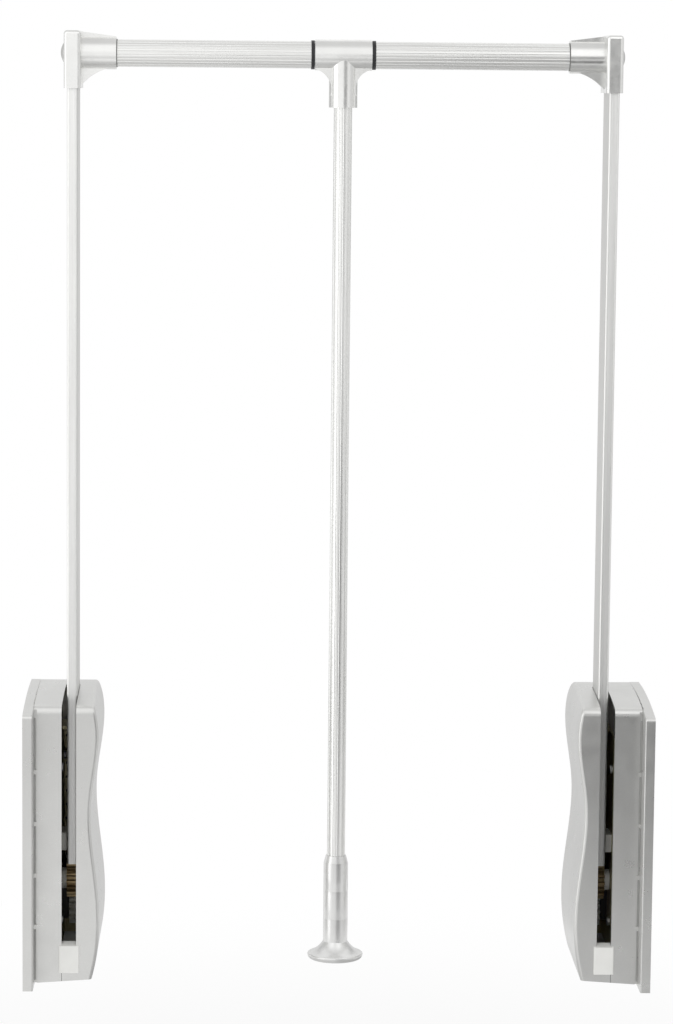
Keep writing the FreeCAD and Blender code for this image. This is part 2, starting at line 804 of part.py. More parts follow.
def bumper():
    """White stop at the slot's lower end: a face over the slot, a head whose top is parallel to the
    lowered arm's underside, and a low tail that lies in the covers."""
    down = math.radians(swing_angle - 90)
    under = arm_depth / 2 + moving_gap

    def seat_height(y):
        reach_y = pivot_y + under * math.sin(down)
        reach_z = pivot_height - under * math.cos(down)
        return reach_z - (reach_y - y) * math.tan(down)

    def wedge(half, front, back, low):
        x0 = slot_x - half
        points = [
            Vector(x0, front, low), Vector(x0, back, low),
            Vector(x0, back, seat_height(back)), Vector(x0, front, seat_height(front)),
        ]
        return polygon_solid(points, Vector(2 * half, 0, 0))

    proud_front = cover_front - bumper_proud
    face = wedge(bumper_width / 2, proud_front, cover_front, bumper_low)
    half = slot_width / 2 - seat_gap
    low = slot_bottom + seat_gap
    head = wedge(half, cover_front, cover_front + bumper_head, low)
    tail = block(slot_x - half, slot_x + half, cover_front, cover_front + bumper_tail,
                 low, low + bumper_tail_height)
    rim = [e for e in face.Edges if all(abs(v.Y - proud_front) < 1e-6 for v in e.Vertexes)]
    return joined([face.makeFillet(bumper_round, rim), head, tail])


def elbow():
    half = arm_depth / 2 + elbow_wall
    main = block(elbow_in_x, elbow_out_x, pivot_y - half, pivot_y + half, elbow_bottom, elbow_top)
    edges = [e for e in main.Edges if all(abs(v.Z - elbow_bottom) > 1 for v in e.Vertexes)]
    edges += [e for e in main.Edges if abs(e.Vertexes[0].Z - e.Vertexes[1].Z) > 1]
    main = main.makeFillet(elbow_round, edges)
    socket = bar_x(socket_in_x, arm_x, pivot_y, rail_z, socket_radius)
    y0 = pivot_y - gusset_width / 2
    socket_low = rail_z - socket_radius / 2
    tip = Vector(socket_in_x + gusset_inset, y0, rail_z - socket_radius + elbow_round / 2)
    heel = Vector(elbow_in_x + elbow_round, y0, elbow_bottom + elbow_round)
    near = Vector(elbow_in_x, y0, elbow_bottom + elbow_round)
    belly = Vector((2 * tip.x + 3 * near.x) / 5, y0, (3 * tip.z + 2 * near.z) / 5)
    inside = Vector(elbow_in_x + elbow_round, y0, socket_low)
    above = Vector(tip.x, y0, socket_low)
    gusset = solid_of(
        [arc(tip, belly, near), line(near, heel), line(heel, inside), line(inside, above), line(above, tip)],
        Vector(0, gusset_width, 0))
    y1 = pivot_y - rib_width / 2
    crest = rail_z + socket_radius
    rib_x = socket_in_x + rib_inset
    rib = polygon_solid([
        Vector(rib_x, y1, crest - elbow_round),
        Vector(elbow_in_x + elbow_round, y1, crest - elbow_round),
        Vector(elbow_in_x + elbow_round, y1, elbow_top - rib_dip),
        Vector(rib_x, y1, crest + rib_step),
    ], Vector(0, rib_width, 0))
    body = joined([main, socket, gusset, rib])
    pocket_x = arm_width / 2 + seat_gap
    pocket_y = arm_depth / 2 + seat_gap
    pocket = block(arm_x - pocket_x, arm_x + pocket_x, pivot_y - pocket_y, pivot_y + pocket_y,
                   elbow_bottom, arm_top + seat_gap)
    upright = [e for e in pocket.Edges if abs(e.Vertexes[0].Z - e.Vertexes[1].Z) > 1]
    pocket = pocket.makeFillet(arm_corner, upright)
    head_x = elbow_out_x - counterbore_depth
    return body.cut([
        pocket,
        bar_x(socket_in_x, elbow_in_x, pivot_y, rail_z, rail_radius + seat_gap),
        bar_x(elbow_in_x, elbow_out_x, pivot_y, rail_z, elbow_screw_radius + seat_gap),
        bar_x(head_x, elbow_out_x, pivot_y, rail_z, elbow_screw_head_radius + seat_gap),
    ])


def elbow_screw():
    seat_x = elbow_out_x - counterbore_depth
    head = bar_x(seat_x, seat_x + elbow_screw_head, pivot_y, rail_z, elbow_screw_head_radius)
    shank = bar_x(seat_x - elbow_screw_length, seat_x, pivot_y, rail_z, elbow_screw_radius)
    return joined([head, shank])


def elbow_cap():
    """A lens-shaped cap with a spigot in the screw's counterbore."""
    sphere_radius = (cap_radius ** 2 + cap_proud ** 2) / (2 * cap_proud)
    rim = Vector(elbow_out_x, pivot_y + cap_radius, rail_z)
    crown = Vector(elbow_out_x + cap_proud, pivot_y, rail_z)
    half_angle = math.asin(cap_radius / sphere_radius) / 2
    middle = Vector(
        crown.x - sphere_radius * (1 - math.cos(half_angle)),
        pivot_y + sphere_radius * math.sin(half_angle),
        rail_z,
    )
    centre = Vector(elbow_out_x, pivot_y, rail_z)
    outline = Part.Face(Part.Wire([line(centre, rim), arc(rim, middle, crown), line(crown, centre)]))
    dome = outline.revolve(centre, Vector(1, 0, 0), 360)
    spigot_x = elbow_out_x - counterbore_depth + elbow_screw_head + seat_gap
    spigot = bar_x(spigot_x, elbow_out_x, pivot_y, rail_z, elbow_screw_head_radius)
    return joined([dome, spigot])


def fluted(count, radius, depth):
    """Outline of a fluted tube in the XY plane: even ridges on the radius and round flutes between."""
    step = 2 * math.pi / count

    def at(r, a):
        return Vector(r * math.cos(a), r * math.sin(a), 0)

    edges = []
    for i in range(count):
        a = i * step
        ridge = step / 4
        floor = at(radius - depth, a + step / 2)
        edges.append(arc(at(radius, a - ridge), at(radius, a), at(radius, a + ridge)))
        edges.append(arc(at(radius, a + ridge), floor, at(radius, a + step - ridge)))
    return edges


def rail_tube():
    length = rail_out_x - rail_in_x
    tube = solid_of(fluted(rail_flutes, rail_radius, rail_flute_depth), Vector(0, 0, length))
    tube = tube.cut(Part.makeCylinder(rail_radius - rail_wall, length))
    tube.rotate(Vector(0, 0, 0), Vector(0, 1, 0), 90)
    tube.translate(Vector(rail_in_x, pivot_y, rail_z))
    return tube


def rail_plug():
    plug = bar_x(rail_out_x - plug_length, rail_out_x, pivot_y, rail_z, rail_radius - rail_wall - seat_gap)
    hole = bar_x(rail_out_x - plug_length, rail_out_x, pivot_y, rail_z, elbow_screw_radius + seat_gap)
    return plug.cut(hole)


def rail_core():
    x0 = -core_length / 2
    tube = bar_x(x0, -x0, pivot_y, rail_z, core_radius)
    return tube.cut(bar_x(x0, -x0, pivot_y, rail_z, core_radius - core_wall))


def rail_ring():
    ring = bar_x(ring_in_x, rail_in_x, pivot_y, rail_z, ring_radius)
    return ring.cut(bar_x(ring_in_x, rail_in_x, pivot_y, rail_z, core_radius + seat_gap))


def tee():
    sleeve = bar_x(-tee_half_length, tee_half_length, pivot_y, rail_z, tee_radius)
    socket = bar_z(tee_bottom, rail_z, 0, pivot_y, tee_socket_radius)
    y0 = pivot_y - tee_web_width / 2
    high = rail_z - tee_radius / 2
    end = rail_z - tee_radius + web_sink
    low = rail_z - tee_web_drop
    side = tee_socket_radius - web_sink
    bow_x = (tee_half_length + 3 * side) / 4
    bow_z = (3 * end + low) / 4
    web = solid_of([
        line(Vector(-tee_half_length, y0, high), Vector(tee_half_length, y0, high)),
        line(Vector(tee_half_length, y0, high), Vector(tee_half_length, y0, end)),
        arc(Vector(tee_half_length, y0, end), Vector(bow_x, y0, bow_z), Vector(side, y0, low)),
        line(Vector(side, y0, low), Vector(-side, y0, low)),
        arc(Vector(-side, y0, low), Vector(-bow_x, y0, bow_z), Vector(-tee_half_length, y0, end)),
        line(Vector(-tee_half_length, y0, end), Vector(-tee_half_length, y0, high)),
    ], Vector(0, tee_web_width, 0))
    body = joined([sleeve, socket, web])
    screw_y = pivot_y + pull_radius
    screw_z = tee_bottom + tee_screw_rise
    return body.cut([
        bar_x(-tee_half_length, tee_half_length, pivot_y, rail_z, core_radius + running_gap),
        bar_z(tee_bottom, pull_top + seat_gap, 0, pivot_y, pull_radius + seat_gap),
        bar_y(screw_y, screw_y + tee_socket_radius, 0, screw_z, tee_screw_radius + seat_gap),
    ])


def tee_screw():
    start = pivot_y + pull_radius + seat_gap
    length = tee_socket_radius - pull_radius - seat_gap
    return bar_y(start, start + length, 0, tee_bottom + tee_screw_rise, tee_screw_radius)


def pull_rod():
    length = pull_top - pull_bottom
    tube = solid_of(fluted(pull_flutes, pull_radius, pull_flute_depth), Vector(0, 0, length))
    tube = tube.cut(Part.makeCylinder(pull_radius - pull_wall, length))
    tube.translate(Vector(0, pivot_y, pull_bottom))
    return tube


def grip():
    lip_radius = pull_radius + seat_gap + grip_lip
    taper_z = grip_top - grip_taper
    body = joined([
        bar_z(grip_bottom, taper_z, 0, pivot_y, grip_radius),
        Part.makeCone(grip_radius, lip_radius, grip_taper, Vector(0, pivot_y, taper_z)),
    ])
    cuts = [
        bar_z(grip_socket_floor, grip_top, 0, pivot_y, pull_radius + seat_gap),
        bar_z(grip_bottom, grip_bottom + knob_spigot + seat_gap, 0, pivot_y, knob_spigot_radius + seat_gap),
    ]
    for i in range(scoop_count):
        cuts.append(scoop(grip_top - scoop_first - i * scoop_pitch))
    return body.cut(cuts)


def scoop(high):
    """What a scoop takes off the grip's front: all that lies outside a round bar which bends back,
    so that the scoop is deepest at its top and runs out below."""
    low = high - scoop_length
    reach = grip_radius + scoop_edge
    bend = (scoop_length ** 2 + scoop_depth ** 2) / (2 * scoop_depth)
    bar = Part.makeTorus(bend, reach, Vector(0, pivot_y + bend, low), Vector(1, 0, 0))
    return block(-reach, reach, pivot_y - reach, pivot_y, low, high).cut(bar)


def knob():
    """A flared end: a hollow cone from the grip to a round rim, dished below."""
    def at(r, z):
        return Vector(r, pivot_y, z)

    rim_z = knob_bottom + knob_rim
    dish_z = knob_bottom + knob_dish
    dish_radius = knob_radius - 2 * knob_rim
    foot_radius = knob_radius - knob_rim
    corner = knob_rim * (1 - math.sqrt(0.5))
    rim_middle = at(knob_radius - corner, knob_bottom + corner)
    shoulder = Vector(knob_radius - knob_shoulder, pivot_y, rim_z + knob_shoulder)
    turn = knob_shoulder * (1 - math.sqrt(0.5))
    neck = at(grip_radius, grip_bottom)
    flare = (shoulder + neck) * 0.5 - Vector(knob_hollow, 0, knob_hollow)
    spigot_top = grip_bottom + knob_spigot
    edges = [
        line(at(0, dish_z), at(dish_radius, dish_z)),
        line(at(dish_radius, dish_z), at(dish_radius + knob_dish, knob_bottom)),
        line(at(dish_radius + knob_dish, knob_bottom), at(foot_radius, knob_bottom)),
        arc(at(foot_radius, knob_bottom), rim_middle, at(knob_radius, rim_z)),
        arc(at(knob_radius, rim_z), at(knob_radius - turn, shoulder.z - turn), shoulder),
        arc(shoulder, flare, neck),
        line(neck, at(knob_spigot_radius, grip_bottom)),
        line(at(knob_spigot_radius, grip_bottom), at(knob_spigot_radius, spigot_top)),
        line(at(knob_spigot_radius, spigot_top), at(0, spigot_top)),
        line(at(0, spigot_top), at(0, dish_z)),
    ]
    return Part.Face(Part.Wire(edges)).revolve(at(0, 0), Vector(0, 0, 1), 360)


side_pieces = {
    "wall_plate": wall_plate,
    "outer_cover": outer_cover,
    "inner_cover": inner_cover,
    "cover_screws": cover_screws,
    "chassis": chassis,
    "chassis_screws": chassis_screws,
    "pivot_axle": pivot_axle,
    "axle_clip": axle_clip,
    "pivot_bushes": pivot_bushes,
    "arm_lever": arm_lever,
    "arm_tube": arm_tube,
    "arm_rivets": arm_rivets,
    "arm_guides": arm_guides,
    "rack": rack,
    "rack_guide": rack_guide,
    "lift_spring": lift_spring,
    "damper_body": damper_body,
    "damper_rod": damper_rod,
    "bumper": bumper,
    "elbow": elbow,
    "elbow_screw": elbow_screw,
    "elbow_cap": elbow_cap,
    "rail_tube": rail_tube,
    "rail_plug": rail_plug,
    "rail_ring": rail_ring,
}
middle_pieces = {
    "rail_core": rail_core,
    "tee": tee,
    "tee_screw": tee_screw,
    "pull_rod": pull_rod,
    "grip": grip,
    "knob": knob,
}

os.makedirs("parts", exist_ok=True)
for name, make in side_pieces.items():
    right = make()
    left = right.mirror(Vector(0, 0, 0), Vector(1, 0, 0))
    right.exportStep(f"parts/right_{name}.step")
    left.exportStep(f"parts/left_{name}.step")
for name, make in middle_pieces.items():
    make().exportStep(f"parts/{name}.step")
print(f"least gap between the turns of a lift spring: {spring_gap():.2f} mm")
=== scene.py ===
from math import cos, pi, radians, sin

import bpy
import numpy as np
from mathutils import Matrix, Vector


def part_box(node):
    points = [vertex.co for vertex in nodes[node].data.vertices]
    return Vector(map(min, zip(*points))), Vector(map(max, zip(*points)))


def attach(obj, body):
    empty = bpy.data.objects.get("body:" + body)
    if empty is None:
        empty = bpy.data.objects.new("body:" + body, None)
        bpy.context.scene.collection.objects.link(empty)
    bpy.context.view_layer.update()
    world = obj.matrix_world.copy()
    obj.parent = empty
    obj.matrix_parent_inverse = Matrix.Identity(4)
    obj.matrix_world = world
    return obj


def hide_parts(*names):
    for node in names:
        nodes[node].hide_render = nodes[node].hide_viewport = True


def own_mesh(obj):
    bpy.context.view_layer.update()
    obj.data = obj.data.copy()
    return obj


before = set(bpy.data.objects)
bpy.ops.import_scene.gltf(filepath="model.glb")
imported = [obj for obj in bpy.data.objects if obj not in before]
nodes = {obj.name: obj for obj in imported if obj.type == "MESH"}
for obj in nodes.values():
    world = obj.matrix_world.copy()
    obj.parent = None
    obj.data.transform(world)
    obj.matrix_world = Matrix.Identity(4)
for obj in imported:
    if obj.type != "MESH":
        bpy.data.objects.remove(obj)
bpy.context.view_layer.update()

# Sign of X on each side
hands = {"left": -1.0, "right": 1.0}

# Camera: where it stands and how far it sees, in metres, how it is turned, in degrees, and its lens
camera_place = (-0.0859, -3.1899, 0.8217)
camera_reach = 20.0
camera_yaw = 1.497
camera_pitch = 7.089
camera_roll = 0.543
focal_pixels = 3549.6
picture_height = 1024
sensor_size = 36.0

# Light: strength of the white room as it is seen and as it lights, then each lamp's radiance, place and size
backdrop_level = 1.0
room_level = 0.62
key_level = 1.18
key_place = (-1.1, -1.6, 1.6)
key_size = (1.4, 1.4)
fill_level = 0.25
fill_place = (1.5, -1.4, 0.9)
fill_size = (1.2, 1.4)
lamp_target = (0.0, 0.0, 0.4)

# Floor: a disc that goes over from grey to the white of the room between two distances from the middle
floor_height = -0.30
floor_reach = 2.6
floor_crowding = 0.7
floor_grey = 0.86
floor_roughness = 0.7
floor_fade = (0.4, 1.6)
floor_least_white = 0.8

# Flags and cards of the studio, seen by gloss alone: name, corner, side across, side along, grey, and the
# share of a side over which each edge is soft, at the start and end across and at the start and end along
flag_points = 41
studio_flags = (
    ("low right flag", (0.02, -1.0, -0.28), (1.16, 0, 0), (0, 0, 0.75), 0.15, (0.13, 0.33, 0.36, 0.15)),
    ("high right flag", (0.06, -1.01, 0.53), (0.6, 0, 0), (0, 0, 0.43), 0.32, (0.1, 0.3, 0.22, 0.07)),
    ("left flag", (-1.3, -1.02, -0.28), (1.4, 0, 0), (0, 0, 0.8), 0.75, (0.4, 0.08, 0.5, 0.35)),
    ("right screen", (0.03, -1.05, -0.28), (1.5, 0, 0), (0, 0, 1.3), 0.84, (0.05, 0.05, 0.02, 0.2)),
    ("side screen", (1.5, -1.1, -0.28), (0, 1.4, 0), (0, 0, 1.9), 0.70, (0.02, 0.2, 0.02, 0.3)),
    ("left floor flag", (-0.9, -0.85, -0.29), (1.0, 0, 0), (0, 2.0, 0), 0.60, (0.3, 0.2, 0.25, 0.25)),
    ("right floor flag", (-0.1, -1.15, -0.285), (1.0, 0, 0), (0, 2.3, 0), 0.40, (0.2, 0.3, 0.22, 0.25)),
    ("back flag", (-1.6, 1.2, -0.28), (3.2, 0, 0), (0, 0, 1.6), 0.86, (0.2, 0.2, 0.02, 0.3)),
    ("low back flag", (-1.2, 1.19, -0.28), (2.4, 0, 0), (0, 0, 0.6), 0.73, (0.2, 0.2, 0.02, 0.5)),
    ("back left flag", (-1.5, 0.45, 0.3), (0.3, 0.74, 0), (0, 0, 1.12), 0.55, (0.2, 0.2, 0.15, 0.2)),
    ("back right flag", (1.5, 0.45, -0.28), (-0.3, 0.74, 0), (0, 0, 1.7), 0.55, (0.2, 0.2, 0.05, 0.2)),
    ("overhead flag", (-0.6, -0.18, 1.04), (1.2, 0, 0), (0, 0.38, 0), 0.72, (0.1, 0.1, 0.35, 0.3)),
    ("high back left flag", (-1.7, 1.18, 0.35), (1.15, 0, 0), (0, 0, 1.5), 0.52, (0.1, 0.3, 0.2, 0.1)),
    ("high back right flag", (0.55, 1.18, 0.35), (1.15, 0, 0), (0, 0, 1.5), 0.44, (0.3, 0.1, 0.2, 0.1)),
    ("front left card", (-1.3, -1.7, 0.95), (1.15, 0, 0), (0, 1.2, 1.1), 1.30, (0.15, 0.3, 0.2, 0.15)),
    ("front right card", (0.15, -1.7, 0.95), (1.15, 0, 0), (0, 1.2, 1.1), 1.35, (0.3, 0.15, 0.2, 0.15)),
    ("left card", (-1.5, -1.3, -0.28), (0, 1.15, 0), (0, 0, 1.6), 1.75, (0.15, 0.35, 0.05, 0.15)),
)

# Arms, in metres: middle plane, half thickness, and how far inside a broad side its painted shade starts and
# is full
arm_x = 0.2406
arm_half = 0.00475
arm_shade_start = 0.0007
arm_shade_full = 0.0002

# Lift springs, in metres and turns, and the number of points along a turn and around the wire
spring_x = arm_x
spring_y = 0.043
spring_foot = 0.099
spring_top = 0.218
spring_radius = 0.0079
spring_wire = 0.0011
spring_turns = 11
spring_end_turns = 1.2
spring_blend_turns = 0.33
turn_points = 40
wire_points = 12
cut_end = 1e-6

# Groove between cover and wall plate, seam of the covers, rings at the rail's sockets: the strips and rings
# there are painted shade of these gaps
groove_x = (0.2716, 0.2729)
groove_y = (-0.0540, -0.0535)
groove_z = (0.0040, 0.2440)
seam_x = 0.24845
seam_half = 0.00018
seam_y = (-0.05504, -0.0545)
seam_foot = 0.0031
ring_wire = 0.0004
ring_seat = 0.0002

# Set screw of the tee: half width, depth, mouth and drill point of its key recess, and its rims' chamfer
screw_key = 0.0011
screw_key_depth = 0.0018
screw_key_mouth = 1.12
screw_drill_point = 0.4
screw_chamfer = 0.0003

# Tints, as linear red, green and blue, each pair from dark to light
lacquer_tints = ((0.68, 0.68, 0.665), (0.73, 0.73, 0.715))
flake_tint = (0.84, 0.84, 0.825)
nickel_tints = ((0.84, 0.84, 0.825), (0.89, 0.89, 0.875))
handle_tints = ((0.80, 0.80, 0.79), (0.85, 0.85, 0.84))
arm_tints = ((0.89, 0.89, 0.875), (0.96, 0.96, 0.945))
# Painted shade of the arms' broad sides, darker than their fronts
arm_side_shade_tint = (0.68, 0.68, 0.665)
rod_tints = ((0.86, 0.86, 0.845), (0.95, 0.95, 0.935))
rail_tints = ((0.84, 0.84, 0.825), (0.93, 0.93, 0.915))
white_tints = ((0.88, 0.88, 0.85), (0.93, 0.93, 0.90))
dark_tints = ((0.03, 0.03, 0.032), (0.045, 0.045, 0.047))
# Grey of the rings at the rail's sockets: painted shade of the gap at each socket's mouth
socket_shade_tints = ((0.21, 0.21, 0.204), (0.27, 0.27, 0.262))
# Grey of the strip in the housing groove: painted shade
groove_shade_tints = ((0.39, 0.39, 0.38), (0.47, 0.47, 0.458))
black_tints = ((0.014, 0.014, 0.015), (0.022, 0.022, 0.024))
straw_tints = ((0.26, 0.18, 0.09), (0.42, 0.33, 0.19))
green_tint = (0.28, 0.27, 0.17)
zinc_tints = ((0.52, 0.53, 0.55), (0.62, 0.63, 0.65))
oiled_tints = ((0.06, 0.06, 0.065), (0.10, 0.10, 0.11))
olive_tints = ((0.54, 0.49, 0.32), (0.66, 0.61, 0.42))


# Shapes
def put_mesh(name, points, faces, smooth=True):
    """A mesh object at the origin from an array of points and an array of faces."""
    mesh = bpy.data.meshes.new(name)
    mesh.from_pydata(points.reshape(-1, 3).tolist(), [], np.asarray(faces).tolist())
    mesh.polygons.foreach_set("use_smooth", np.full(len(mesh.polygons), smooth))
    mesh.update()
    piece = bpy.data.objects.new(name, mesh)
    bpy.context.scene.collection.objects.link(piece)
    return piece


def grid_faces(rows, columns, wrap_rows=False, wrap_columns=False):
    """Four-cornered faces between neighbouring points of a grid, closed round where asked."""
    row = np.arange(rows if wrap_rows else rows - 1)[:, None]
    column = np.arange(columns if wrap_columns else columns - 1)[None, :]
    next_row = (row + 1) % rows
    next_column = (column + 1) % columns
    corners = (row * columns + column, row * columns + next_column,
               next_row * columns + next_column, next_row * columns + column)
    return np.stack(np.broadcast_arrays(*corners), axis=-1).reshape(-1, 4)


def full_turn(count):
    """Angles of that many points evenly round a circle."""
    return np.linspace(0.0, 2.0 * pi, count, endpoint=False)


def soft_step(share):
    """A smooth rise from 0 to 1 as the share goes from 0 to 1: three squares less two cubes."""
    share = np.clip(share, 0.0, 1.0)
    return share * share * (3.0 - 2.0 * share)


def tube_along(path, radius, around):
    """Points of a round tube: at each path point, radius times the circle of two normals to the path.

    The first normal is the part of the vector away from the path's upright middle axis that is square
    to the path's direction, so the tube doesn't twist. The two ends are drawn in to a point.
    """
    direction = np.gradient(path, axis=0)
    direction /= np.linalg.norm(direction, axis=1, keepdims=True)
    outward = path - path.mean(axis=0)
    outward[:, 2] = 0.0
    outward -= direction * np.sum(outward * direction, axis=1, keepdims=True)
    outward /= np.linalg.norm(outward, axis=1, keepdims=True)
    side = np.cross(direction, outward)
    angle = full_turn(around)[None, :, None]
    ring = np.cos(angle) * outward[:, None, :] + np.sin(angle) * side[:, None, :]
    size = np.full(len(path), radius)
    size[0] = 0.0
    size[-1] = 0.0
    return path[:, None, :] + ring * size[:, None, None]


def coil_spring(name, x):
    """A compression spring: a helix whose pitch is one wire at the closed ends and even in between.

    Height is the running sum of the pitch over the turn, and the pitch goes over softly from closed to
    open. The first and the last points repeat, so the wire has flat cut ends.
    """
    turn = np.linspace(0.0, spring_turns, spring_turns * turn_points + 1)
    from_end = np.minimum(turn, spring_turns - turn)
    opening = soft_step((from_end - spring_end_turns) / spring_blend_turns + 0.5)
    closed_pitch = 2.0 * spring_wire
    height = spring_top - spring_foot - 2.0 * spring_wire
    step = turn[1] - turn[0]
    middle = 0.5 * (opening[1:] + opening[:-1])
    open_pitch = (height - closed_pitch * step * np.sum(1.0 - middle)) / (step * np.sum(middle))
    climb = step * (closed_pitch * (1.0 - middle) + open_pitch * middle)
    rise = np.concatenate(([0.0], np.cumsum(climb)))
    angle = 2.0 * pi * turn
    path = np.stack((x + spring_radius * np.cos(angle), spring_y + spring_radius * np.sin(angle),
                     spring_foot + spring_wire + rise), axis=1)
    path = np.concatenate((path[:1], path, path[-1:]))
    path[0] += cut_end * (path[1] - path[2])
    path[-1] += cut_end * (path[-2] - path[-3])
    points = tube_along(path, spring_wire, wire_points)
    return put_mesh(name, points, grid_faces(len(path), wire_points, wrap_columns=True))


def socket_screw(name, x, z, front, back, radius):
    """A set screw along Y: a profile turned about its axis, going from a round into a six-sided recess.

    Each ring is a radius and a depth along Y; the recess rings follow the hexagon, whose radius at an
    angle is the key's half width over the cosine of the angle from its nearest flat.
    """
    around = 48
    angle = full_turn(around)
    flat = (angle + pi / 6.0) % (pi / 3.0) - pi / 6.0
    hexagon = screw_key / np.cos(flat)
    rings = (
        (0.0, front),
        (radius - screw_chamfer, front),
        (radius, front + screw_chamfer),
        (radius, back - screw_chamfer),
        (radius - screw_chamfer, back),
        (hexagon * screw_key_mouth, back),
        (hexagon, back - 0.5 * screw_chamfer),
        (hexagon, back - screw_key_depth),
        (0.0, back - screw_key_depth - screw_drill_point * screw_key),
    )
    radii = np.stack([np.broadcast_to(ring, around) for ring, depth in rings])
    depths = np.array([depth for ring, depth in rings])[:, None] + 0.0 * radii
    points = np.stack((x + radii * np.cos(angle), depths, z - radii * np.sin(angle)), axis=-1)
    return put_mesh(name, points, grid_faces(len(rings), around, wrap_columns=True), smooth=False)


def ring_about_x(name, x, y, z, radius, wire):
    """A round ring about an axis along X: a small circle of the wire's radius carried round a large one."""
    around = 96
    across = 12
    large = full_turn(around)[:, None]
    small = full_turn(across)[None, :]
    reach = radius + wire * np.cos(small)
    points = np.stack((x - wire * np.sin(small) + 0.0 * large, y + reach * np.cos(large),
                       z + reach * np.sin(large)), axis=-1)
    return put_mesh(name, points, grid_faces(around, across, wrap_rows=True, wrap_columns=True))


def flat_bar(name, low, high):
    """A box between two corners: each point takes, for each axis, the low or the high value."""
    pick = np.indices((2, 2, 2)).reshape(3, -1).T
    points = np.where(pick == 1, np.array(high), np.array(low))
    faces = ((0, 1, 3, 2), (4, 6, 7, 5), (0, 4, 5, 1), (2, 3, 7, 6), (0, 2, 6, 4), (1, 5, 7, 3))
    return put_mesh(name, points, faces, smooth=False)


# Finishes
class Finish:
    """A material under way: its nodes, its links and its shader."""

    def __init__(self, name, metallic, slot_name):
        self.material = bpy.data.materials.new(name)
        self.material.use_nodes = True
        self.tree = self.material.node_tree
        self.shader = self.tree.nodes["Principled BSDF"]
        self.shader.inputs["Metallic"].default_value = metallic
        self.place = self.tree.nodes.new("ShaderNodeTexCoord").outputs["Object"]
        self.slot_name = slot_name

    def node(self, kind, **settings):
        """A new node of that kind with those settings."""
        made = self.tree.nodes.new(kind)
        for key, value in settings.items():
            setattr(made, key, value)
        return made

    def link(self, source, target):
        """Joins an output to an input."""
        self.tree.links.new(source, target)

    def stretched(self, scale):
        """Object coordinates scaled along each axis, for grain that runs one way."""
        mapping = self.node("ShaderNodeMapping")
        mapping.inputs["Scale"].default_value = scale
        self.link(self.place, mapping.inputs["Vector"])
        return mapping.outputs["Vector"]

    def noise(self, size, detail, stretch=None):
        """Noise from 0 to 1 whose lumps are about size metres across."""
        made = self.node("ShaderNodeTexNoise")
        made.inputs["Scale"].default_value = 1.0 / size
        made.inputs["Detail"].default_value = detail
        self.link(self.stretched(stretch) if stretch else self.place, made.inputs["Vector"])
        return made.outputs["Fac"]

    def flakes(self, size):
        """A random grey for each cell about size metres across."""
        cells = self.node("ShaderNodeTexVoronoi")
        cells.inputs["Scale"].default_value = 1.0 / size
        self.link(self.place, cells.inputs["Vector"])
        grey = self.node("ShaderNodeSeparateColor")
        self.link(cells.outputs["Color"], grey.inputs["Color"])
        return grey.outputs["Red"]

    def spread(self, source, low, high, start=0.3, end=0.7):
        """The source from start to end brought to the range from low to high."""
        made = self.node("ShaderNodeMapRange")
        made.inputs["From Min"].default_value = start
        made.inputs["From Max"].default_value = end
        made.inputs["To Min"].default_value = low
        made.inputs["To Max"].default_value = high
        self.link(source, made.inputs["Value"])
        return made.outputs["Result"]

    def reckoned(self, operation, source, value=0.0):
        """The source after one step of arithmetic, with a second value where the step takes one."""
        made = self.node("ShaderNodeMath", operation=operation)
        self.link(source, made.inputs[0])
        made.inputs[1].default_value = value
        return made.outputs["Value"]

    def mixed(self, share, first, second):
        """A colour between first and second, where share says how much of the second."""
        made = self.node("ShaderNodeMix", data_type="RGBA")
        self.link(share, made.inputs["Factor"])
        for socket, colour in ((made.inputs[6], first), (made.inputs[7], second)):
            if isinstance(colour, tuple):
                socket.default_value = (*colour, 1.0)
            else:
                self.link(colour, socket)
        return made.outputs[2]

    def mottled(self, size, detail, tints):
        """A colour that drifts between the two tints in lumps about size metres across."""
        return self.mixed(self.spread(self.noise(size, detail), low=0.0, high=1.0), *tints)

    def colour(self, source):
        """Sets the colour of the surface."""
        self.link(source, self.shader.inputs["Base Color"])

    def roughness(self, size, detail, smooth, rough, stretch=None):
        """Roughness that drifts from smooth to rough in lumps about size metres across."""
        drift = self.spread(self.noise(size, detail, stretch), low=smooth, high=rough)
        self.link(drift, self.shader.inputs["Roughness"])

    def bump(self, source, height, under=None):
        """Bumps of that height in metres, on top of the bumps under them."""
        made = self.node("ShaderNodeBump")
        made.inputs["Distance"].default_value = height
        made.inputs["Strength"].default_value = 1.0
        self.link(source, made.inputs["Height"])
        if under:
            self.link(under, made.inputs["Normal"])
        self.link(made.outputs["Normal"], self.shader.inputs["Normal"])
        return made.outputs["Normal"]


def silver_paint():
    """Satin silver lacquer: fine flakes, a slow drift of tint and a faint orange peel."""
    made = Finish("satin silver lacquer", metallic=0.85, slot_name="silver_housing")
    body = made.mottled(size=0.09, detail=2.0, tints=lacquer_tints)
    sparkle = made.spread(made.flakes(size=0.0009), low=0.0, high=0.12, start=0.55, end=1.0)
    made.colour(made.mixed(sparkle, body, flake_tint))
    made.roughness(size=0.012, detail=4.0, smooth=0.27, rough=0.34)
    made.bump(made.noise(size=0.0022, detail=2.0), height=0.000008)
    return made


def plated_zinc():
    """Satin nickel on cast zinc: soft waves of the casting and a fine polish grain."""
    made = Finish("satin nickel on zinc", metallic=0.95, slot_name="plated_zinc")
    made.colour(made.mottled(size=0.02, detail=3.0, tints=nickel_tints))
    made.roughness(size=0.006, detail=4.0, smooth=0.19, rough=0.27)
    waves = made.bump(made.noise(size=0.008, detail=2.0), height=0.00004)
    made.bump(made.noise(size=0.0014, detail=2.0), height=0.000003, under=waves)
    return made


